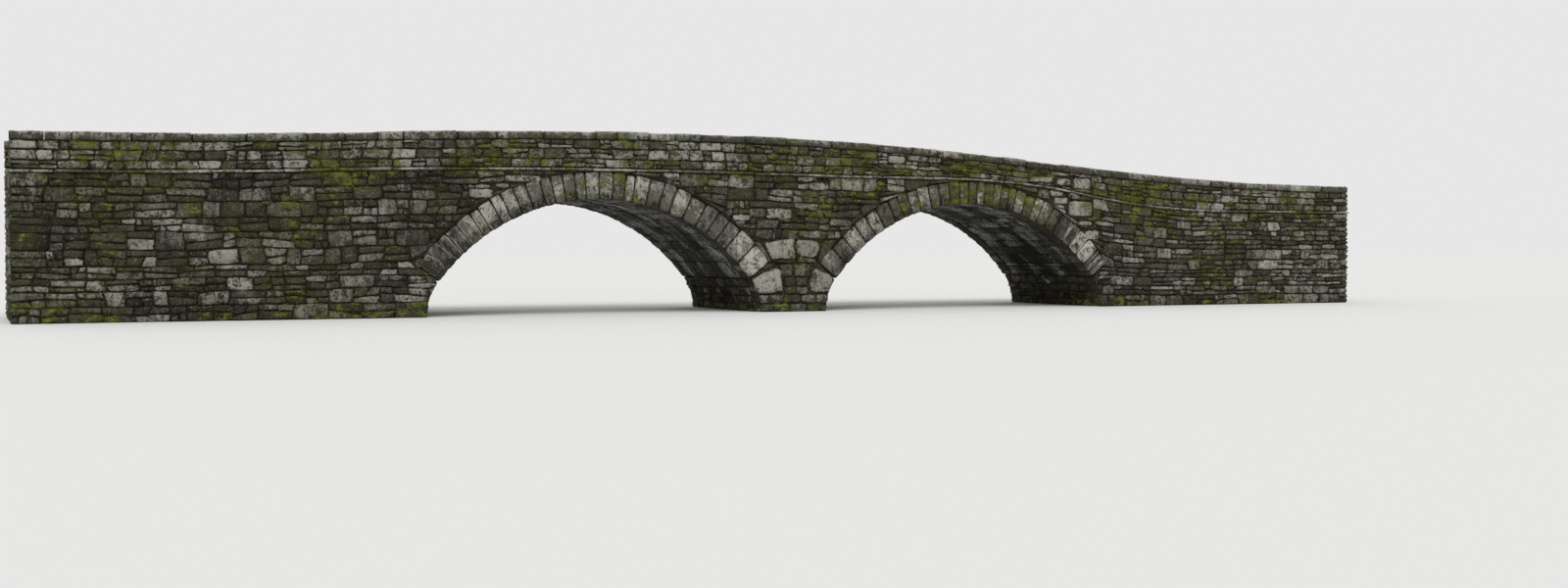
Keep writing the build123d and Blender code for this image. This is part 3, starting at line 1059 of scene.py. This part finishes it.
wallStones = {
    "course": (0.22, 0.42), "length": (0.26, 0.80), "wave": 0.035, "slant": 0.026,
    "whole": 0.28, "pair": 0.46,  # shares of cells that stay one stone or become one on the other
    "steps": 5, "chamfer": 0.022, "joint": 0.020, "round": 0.016, "wobble": 0.010, "belly": 0.012,
    "proud": 0.030, "tilt": 0.012, "rough": 0.010, "rim": 0.010, "most": 0.052, "sides": (0.08,),
    "sideRim": 1.0, "pale": False,
}
cornerDepth = 0.36  # of the stones beside an opening or at a cut end
deepStones = {**wallStones, "sides": (0.06, cornerDepth), "sideRim": 0.2}
bigStones = {
    **wallStones, "steps": 8, "chamfer": 0.040, "joint": 0.022, "round": 0.034, "wobble": 0.014,
    "belly": 0.030, "proud": 0.020, "most": 0.055, "sides": (0.06, cornerDepth), "pale": True,
}
endInset = 0.03  # of mortar from a cut end
endReach = 0.01  # a stone within this of a cut end is at the end
wallPieces = {
    "approach_wall_left": (-halfLength, -abutmentBack),
    "spandrel_left": (-abutmentBack, -archCentre),
    "spandrel_middle": (-archCentre, archCentre),
    "spandrel_right": (archCentre, abutmentBack),
    "approach_wall_right": (abutmentBack, halfLength),
}
supportPieces = {
    "left_abutment": (-abutmentBack, -archCentre),
    "pier": (-archCentre, archCentre),
    "right_abutment": (archCentre, abutmentBack),
}
pierWork = {
    "courses": [  # foot, top and joints of the small courses between the two openings
        (0.00, 0.20, (-1.2, -0.52, -0.10, 0.34, 1.2)),
        (0.21, 0.42, (-1.2, -0.66, -0.28, 0.20, 0.60, 1.2)),
        (0.43, 0.61, (-0.25, 0.08, 0.36)),
        (0.62, 0.85, (-0.27, 0.06, 0.36)),
        (0.86, 1.17, (-0.38, -0.02, 0.44)),
    ],
    "blocks": [  # the big pale ones: a skewback at each springing and two side by side above them
        ((-0.97, 0.43), (-0.26, 0.47), (-0.36, 1.12), (-1.16, 0.80)),
        ((0.38, 0.48), (0.98, 0.45), (1.18, 0.84), (0.52, 1.09)),
        ((-0.60, 1.26), (0.05, 1.27), (0.02, 1.81), (-0.83, 1.70)),
        ((0.10, 1.34), (0.62, 1.29), (0.76, 1.71), (0.04, 1.80)),
    ],
    "fillers": [
        ((-0.50, 1.19), (0.02, 1.19), (0.02, 1.275), (-0.54, 1.255)),
        ((0.09, 1.19), (0.62, 1.19), (0.58, 1.30), (0.12, 1.345)),
        ((-0.80, 1.20), (-0.58, 1.19), (-0.86, 1.68), (-1.16, 1.70)),
        ((0.64, 1.20), (0.78, 1.20), (1.20, 1.76), (0.79, 1.74)),
    ],
    "reach": 1.2,
    "top": 1.79,
}


def oblong(left, right, foot, top):
    # the four corners of an upright oblong
    return [(left, foot), (right, foot), (right, top), (left, top)]


def pierCells():
    # the pier's small stones: an oblong between each two joints of a course, and the fillers
    cells = []
    for foot, top, cuts in pierWork["courses"]:
        cells += [oblong(left, right, foot, top) for left, right in zip(cuts[:-1], cuts[1:])]
    return keepOutside(np.array(cells + pierWork["fillers"]))


def ringBack(u):
    # outer circle of the rings, or the top of the pier and the abutments where that is higher
    heights = np.full(np.shape(u), skewTop)
    for arch in arches.values():
        outer = archRadius + arch["depth"]
        circle = curveCentre + np.sqrt(np.maximum(outer**2 - (u - arch["x"]) ** 2, 0))
        heights = np.where(np.abs(u - arch["x"]) < outer, np.maximum(heights, circle), heights)
    return heights


# Big pale stones that stand out on the front face: left, right, foot and top
laidInWall = [
    (-8.07, -7.50, 2.67, 2.89), (-7.24, -6.38, 3.04, 3.21), (-7.46, -7.12, 2.90, 3.02),
    (7.52, 7.96, 2.69, 2.89), (7.98, 8.74, 2.38, 2.80), (8.30, 8.72, 2.13, 2.27), (8.50, 8.95, 1.76, 2.02),
    (-0.75, -0.05, 2.24, 2.52), (0.42, 0.96, 2.96, 3.16), (-1.62, -1.18, 2.20, 2.36),
]
laidInParapet = [
    (6.74, 7.50, 3.25, 3.42), (7.62, 8.05, 3.18, 3.38), (8.14, 8.68, 3.10, 3.40), (2.6, 3.1, 3.66, 3.86),
]
laidStones = {
    **wallStones, "steps": 6, "chamfer": 0.03, "round": 0.03, "belly": 0.016, "proud": 0.016, "pale": True,
}


def makeRoom(cells, laid):
    # trims each cell that reaches into a laid stone, on the side where the smallest share of it comes off
    for left, right, foot, top in laid:
        x, z = cells[..., 0], cells[..., 1]
        wide, high = np.maximum(np.ptp(x, axis=1), tiny), np.maximum(np.ptp(z, axis=1), tiny)
        reach = np.stack([x.max(1) - left, right - x.min(1), z.max(1) - foot, top - z.min(1)])
        share = reach / np.stack([wide, wide, high, high])
        side = np.where((reach > 0).all(0), share.argmin(0), -1)[:, None]
        x = np.select([side == 0, side == 1], [np.minimum(x, left), np.maximum(x, right)], x)
        z = np.select([side == 2, side == 3], [np.minimum(z, foot), np.maximum(z, top)], z)
        cells = np.stack([x, z], -1)
    return cells


def laidCells(laid, left, right):
    # the laid stones that have their middle in a stretch, as cells
    return np.array([oblong(*row) for row in laid if left <= (row[0] + row[1]) / 2 < right])


def ofStretch(cells, left, right):
    # the cells that have their middle in a stretch
    middle = cells.mean(1)[:, 0]
    return cells[(middle >= left) & (middle < right)]


def stretchSets(cells, left, right, plainLook, endLook, laid, laidLook):
    # the sets of a stretch with their looks: plain cells, those at a cut end, and laid ones
    cells = ofStretch(cells, left, right)
    atEnd = np.abs(cells[..., 0]).max(1) > halfLength - endReach
    return [(cells[~atEnd], plainLook), (cells[atEnd], endLook), (laidCells(laid, left, right), laidLook)]


def insetEnds(left, right):
    # the ends of a stretch, moved in where the bridge is cut off
    return left + endInset * (left == -halfLength), right - endInset * (right == halfLength)


supportParts = {name: [] for name in supportPieces}
for number, (face, place) in enumerate(facePlaces.items()):
    rng = np.random.default_rng(seeds["walls"] + number)
    laid = laidInWall if face == "front" else []
    cells = layCourses(-halfLength, halfLength, levelAt(0), stringFoot, wallStones, rng)
    cells = fitCells(makeRoom(cells, laid))
    middle = cells.mean(1)
    cells = cells[(np.abs(middle[:, 0]) > pierWork["reach"]) | (middle[:, 1] > pierWork["top"])]
    cells = np.concatenate([cells, pierCells()])
    middle = cells.mean(1)
    inSupport = (middle[:, 1] < skewTop) & (np.abs(middle[:, 0]) < abutmentBack)
    blocks = keepOutside(np.array(pierWork["blocks"]))
    upper = blocks.mean(1)[:, 1] > skewTop
    for name, ends in wallPieces.items():
        sets = stretchSets(cells[~inSupport], *ends, wallStones, deepStones, laid, laidStones)
        if name == "spandrel_middle":
            sets.insert(2, (blocks[upper], bigStones))
        lower = levelAt(0) if "approach" in name else ringBack
        bed = makeBed(*insetEnds(*ends), lower, stringFoot, place, seeds["wallMortar"])
        parts = [bed, *layStones(sets, place, rng)]
        makePiece(f"{face}_{name}_stones", parts, wallRubble, [f"{face}_{name}"], wallWeather)
    for name, ends in supportPieces.items():
        supportParts[name] += layStones([(ofStretch(cells[inSupport], *ends), deepStones)], place, rng)
    supportParts["pier"] += layStones([(blocks[~upper], bigStones)], place, rng)
print("walls: 10")


# Pier and abutments: deep stones on the faces, a lining of rubble in the openings, mortar between

pierBedding = {**bedding, "rows": 12, "columns": 16}


def supportCore(leftEdge, rightEdge, look=pierBedding):
    # uneven mortar through the whole width of the bridge between two edges that depend on the height
    heights, shares = np.linspace(0, skewTop, look["rows"]), np.linspace(0, 1, look["columns"])
    z, t = np.meshgrid(heights, shares, indexing="ij")
    x = between(leftEdge(z), rightEdge(z), t)
    h = -look["sunk"] + look["uneven"] * waves(np.stack([x, z], -1), look["waveLength"], seeds["pierMortar"])
    return makeSolid(facePlaces["front"](x, z, h), facePlaces["back"](x, z, h))


def archEdge(side, sign):
    # the mortar's edge beside an opening: centre plus or minus what the arch takes up and the joint
    arch = arches[side]
    return lambda z: arch["x"] + sign * (blockedReach(z, arch["depth"]) + bedding["sunk"])


supportEdges = {
    "left_abutment": (levelAt(-abutmentBack), archEdge("left", -1), [("left", -1)]),
    "pier": (archEdge("left", 1), archEdge("right", -1), [("left", 1), ("right", -1)]),
    "right_abutment": (archEdge("right", 1), levelAt(abutmentBack), [("right", 1)]),
}
lining = {
    **wallStones, "course": (0.17, 0.28), "length": (0.25, 0.6), "whole": 0.8, "proud": 0.016, "most": 0.04,
}
insideReach = halfWidth - cornerDepth  # between the deep stones of the two faces
for name, (leftEdge, rightEdge, openings) in supportEdges.items():
    rng = np.random.default_rng(seeds["linings"] + len(name))
    parts = [supportCore(leftEdge, rightEdge), *supportParts[name]]
    for side, sign in openings:
        cells = layCourses(-insideReach, insideReach, levelAt(0), levelAt(springHeight), lining, rng)
        parts.append(makeStones(cells, haunchPlace(arches[side]["x"], sign), lining, rng))
    makePiece(f"{name}_stones", parts, pierGranite, [name], pierWeather)
print("supports: 3")


# Parapets: low rubble on both faces of a mortar core

parapetStones = {
    **wallStones, "course": (0.17, 0.29), "length": (0.20, 0.66), "wave": 0.02, "whole": 0.66, "pair": 0.26,
    "proud": 0.018, "most": 0.04,
}
parapetEnds = {**parapetStones, "sides": (0.06, 0.19), "sideRim": 0.2}
parapetLaid = {**laidStones, "most": 0.04}
parapetPieces = {
    "left": (-halfLength, -abutmentFace),
    "middle": (-abutmentFace, abutmentFace),
    "right": (abutmentFace, halfLength),
}
for number, (face, sign) in enumerate(faceSigns.items()):
    sheets = []
    for inside, place in enumerate((facePlaces[face], alongPlace(sign * parapetInside, -sign))):
        rng = np.random.default_rng(seeds["parapets"] + 2 * number + inside)
        laid = laidInParapet if (face, inside) == ("front", 0) else []
        cells = layCourses(-halfLength, halfLength, stringTop, copingFoot, parapetStones, rng)
        sheets.append((place, fitCells(makeRoom(cells, laid)), laid, rng))
    outerPlace, innerPlace = sheets[0][0], sheets[1][0]
    for name, ends in parapetPieces.items():
        mortarEnds, mortarSeed = insetEnds(*ends), seeds["parapetMortar"]
        parts = [makeBed(*mortarEnds, stringTop, copingFoot, outerPlace, mortarSeed, farPlace=innerPlace)]
        for place, cells, laid, rng in sheets:
            sets = stretchSets(cells, *ends, parapetStones, parapetEnds, laid, parapetLaid)
            parts += layStones(sets, place, rng)
        nodes = [f"{face}_parapet_{name}"]
        makePiece(nodes[0] + "_stones", parts, wallRubble, nodes, parapetWeather)
print("parapets: 6")


# Coping and string course: long flat stones laid end to end

copingStones = {
    "length": (0.5, 1.3), "draws": 90, "shortest": 0.3,  # lengths drawn, more than the bridge needs
    "height": bridge["copingHeight"], "points": 16, "joint": 0.022, "tones": (0.0, 0.6),
    "widths": (0.93, 1.0), "heights": (0.86, 1.0), "shift": 0.006, "roll": 0.012, "rough": 0.0045,
}
stringStones = {
    **copingStones, "length": (0.5, 1.4), "height": bridge["stringThickness"], "joint": 0.010,
    "heights": (0.75, 1.0), "roll": 0.01, "rough": 0.004, "tones": (0.25, 0.9),
}


def cutBars(look, rng):
    # both ends of each stone along the bridge
    cuts = cutLine(-halfLength, halfLength, look["length"], look["draws"], look["shortest"], rng)
    return np.stack([cuts[:-1], cuts[1:]], 1)


for number, face in enumerate(faceSigns):
    rng = np.random.default_rng(seeds["bars"] + number)
    cuts = cutBars(copingStones, rng)
    middle = cuts.mean(1)
    low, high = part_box(f"{face}_coping_middle")
    for name, (left, right) in parapetPieces.items():
        own = cuts[(middle >= left) & (middle < right)]
        bars = makeBars(own, copingTop, low.y, high.y, copingStones, rng)
        nodes = [f"{face}_coping_{name}"]
        makePiece(nodes[0] + "_stones", [bars], copingGranite, nodes, copingWeather)
    low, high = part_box(f"{face}_string_course")
    bars = makeBars(cutBars(stringStones, rng), stringTop, low.y, high.y, stringStones, rng)
    nodes = [f"{face}_string_course"]
    makePiece(f"{face}_string_stones", [bars], copingGranite, nodes, stringWeather)
print("coping: 6, string courses: 2")


# Filling: between the walls from a cut end to the crown of the arch, with a face of rubble at the cut end

endStones = {**wallStones, "most": endInset}
insideBedding = {**bedding, "sunk": bridge["wallThickness"], "spacing": 0.3}
for side, sign in (("left", -1), ("right", 1)):
    rng = np.random.default_rng(seeds["ends"] + sign)
    place = endPlace(sign * (halfLength - endInset), sign)
    top = levelAt(stringFoot(sign * halfLength))
    cells = layCourses(-insideReach, insideReach, levelAt(0), top, wallStones, rng)
    parts = [makeStones(cells, place, endStones, rng)]
    for low, high, lower in ((abutmentBack, halfLength - endInset - bedding["sunk"], levelAt(0)),
                             (archCentre, abutmentBack, ringBack)):
        ends = sorted((sign * low, sign * high))
        parts.append(makeBed(*ends, lower, stringFoot, facePlaces["front"], seeds["filling"],
                             farPlace=facePlaces["back"], look=insideBedding))
    makePiece(f"{side}_filling", parts, wallRubble, [f"filling_{side}"], wallWeather)
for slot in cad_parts["filling_middle"].material_slots:
    slot.material = roadGravel
print("filling: 3")


# Road: beaten gravel between the parapets, worn into two ruts

road = {
    "spacing": 0.08, "rutAt": 0.72, "rutWidth": 0.2, "rutDepth": 0.018, "camber": 0.02, "uneven": 0.005,
    "sunk": 0.008, "waveLength": 0.7, "octaves": 5,
}


def makeRoad():
    # string line less sunk, less camber (y / half width)^2, less a bell-shaped rut on each side, plus waves
    columns, rows = int(2 * halfLength / road["spacing"]), int(2 * parapetInside / road["spacing"])
    ends = np.linspace(-halfLength, halfLength, columns), np.linspace(-parapetInside, parapetInside, rows)
    x, y = np.meshgrid(*ends)
    rut = road["rutDepth"] * np.exp(-((np.abs(y) - road["rutAt"]) / road["rutWidth"]) ** 2)
    grit = road["uneven"] * waves(np.stack([x, y], -1), road["waveLength"], seeds["road"], road["octaves"])
    z = stringTop(x) - road["sunk"] - road["camber"] * (y / parapetInside) ** 2 - rut + grit
    surface = np.stack([x, y, np.minimum(z, stringTop(x))], -1)
    return makeSolid(surface, np.stack([x, y, stringFoot(x)], -1), stone=1.0)


makePiece("road_surface", [makeRoad()], roadGravel, ["road_bed"], roadWeather)
print("road: 1")


# Camera at the photograph's viewing angle, pale floor, soft light

view = {"place": (-18.42, -41.04, 1.51), "heading": 25.05, "pitch": -1.44, "lens": 40.5, "sensor": 36.0}
studio = {
    "floorSize": 400.0, "floor": colour(0.78, 0.78, 0.77), "floorRoughness": 0.9,
    "sky": 0.62, "background": 0.80, "sun": 1.6, "sunAngle": 40.0, "sunTurn": (38.0, 0.0, -20.0),
}


def makeCamera():
    # level at heading and pitch 0, looking along +y
    camera = addObject("camera", bpy.data.cameras.new("camera"))
    camera.location = view["place"]
    camera.rotation_euler = (math.radians(90 + view["pitch"]), 0, -math.radians(view["heading"]))
    camera.data.lens = view["lens"]
    camera.data.sensor_width = view["sensor"]
    camera.data.clip_end = 2 * studio["floorSize"]
    bpy.context.scene.camera = camera


def makeFloor():
    # one flat square at z = 0
    size = studio["floorSize"]
    corners = [(-size, -size, 0), (size, -size, 0), (size, size, 0), (-size, size, 0)]
    mesh = bpy.data.meshes.new("floor")
    mesh.from_pydata(corners, [], [(0, 1, 2, 3)])
    material = bpy.data.materials.new("floor")
    material.use_nodes = True
    shader = material.node_tree.nodes["Principled BSDF"]
    shader.inputs["Base Color"].default_value = studio["floor"]
    shader.inputs["Roughness"].default_value = studio["floorRoughness"]
    mesh.materials.append(material)
    addObject("floor", mesh)


def makeLight():
    # an even white sky, the plain background for the camera and in reflections, and one wide soft sun
    world = bpy.data.worlds.new("studio")
    bpy.context.scene.world = world
    world.use_nodes = True
    tree = world.node_tree
    tree.nodes.clear()
    rays = addNode(tree, "ShaderNodeLightPath").outputs
    step = studio["background"] - studio["sky"]
    kinds = ("Is Camera Ray", "Is Glossy Ray", "Is Transmission Ray")
    seen = addUp(tree, (1.0, studio["sky"], 0), *((rays[kind], step, 0) for kind in kinds))
    sky = addNode(tree, "ShaderNodeBackground", {"Color": colour(1.0, 1.0, 1.0), "Strength": seen})
    addNode(tree, "ShaderNodeOutputWorld", {"Surface": sky.outputs[0]})
    sun = addObject("sun", bpy.data.lights.new("sun", "SUN"))
    sun.data.energy = studio["sun"]
    sun.data.angle = math.radians(studio["sunAngle"])
    sun.rotation_euler = [math.radians(turn) for turn in studio["sunTurn"]]


makeCamera()
makeFloor()
makeLight()
bpy.context.scene.view_settings.view_transform = "Standard"
print("stage: camera, floor and light;", len(triangles), "pieces of", sum(triangles.values()), "triangles")
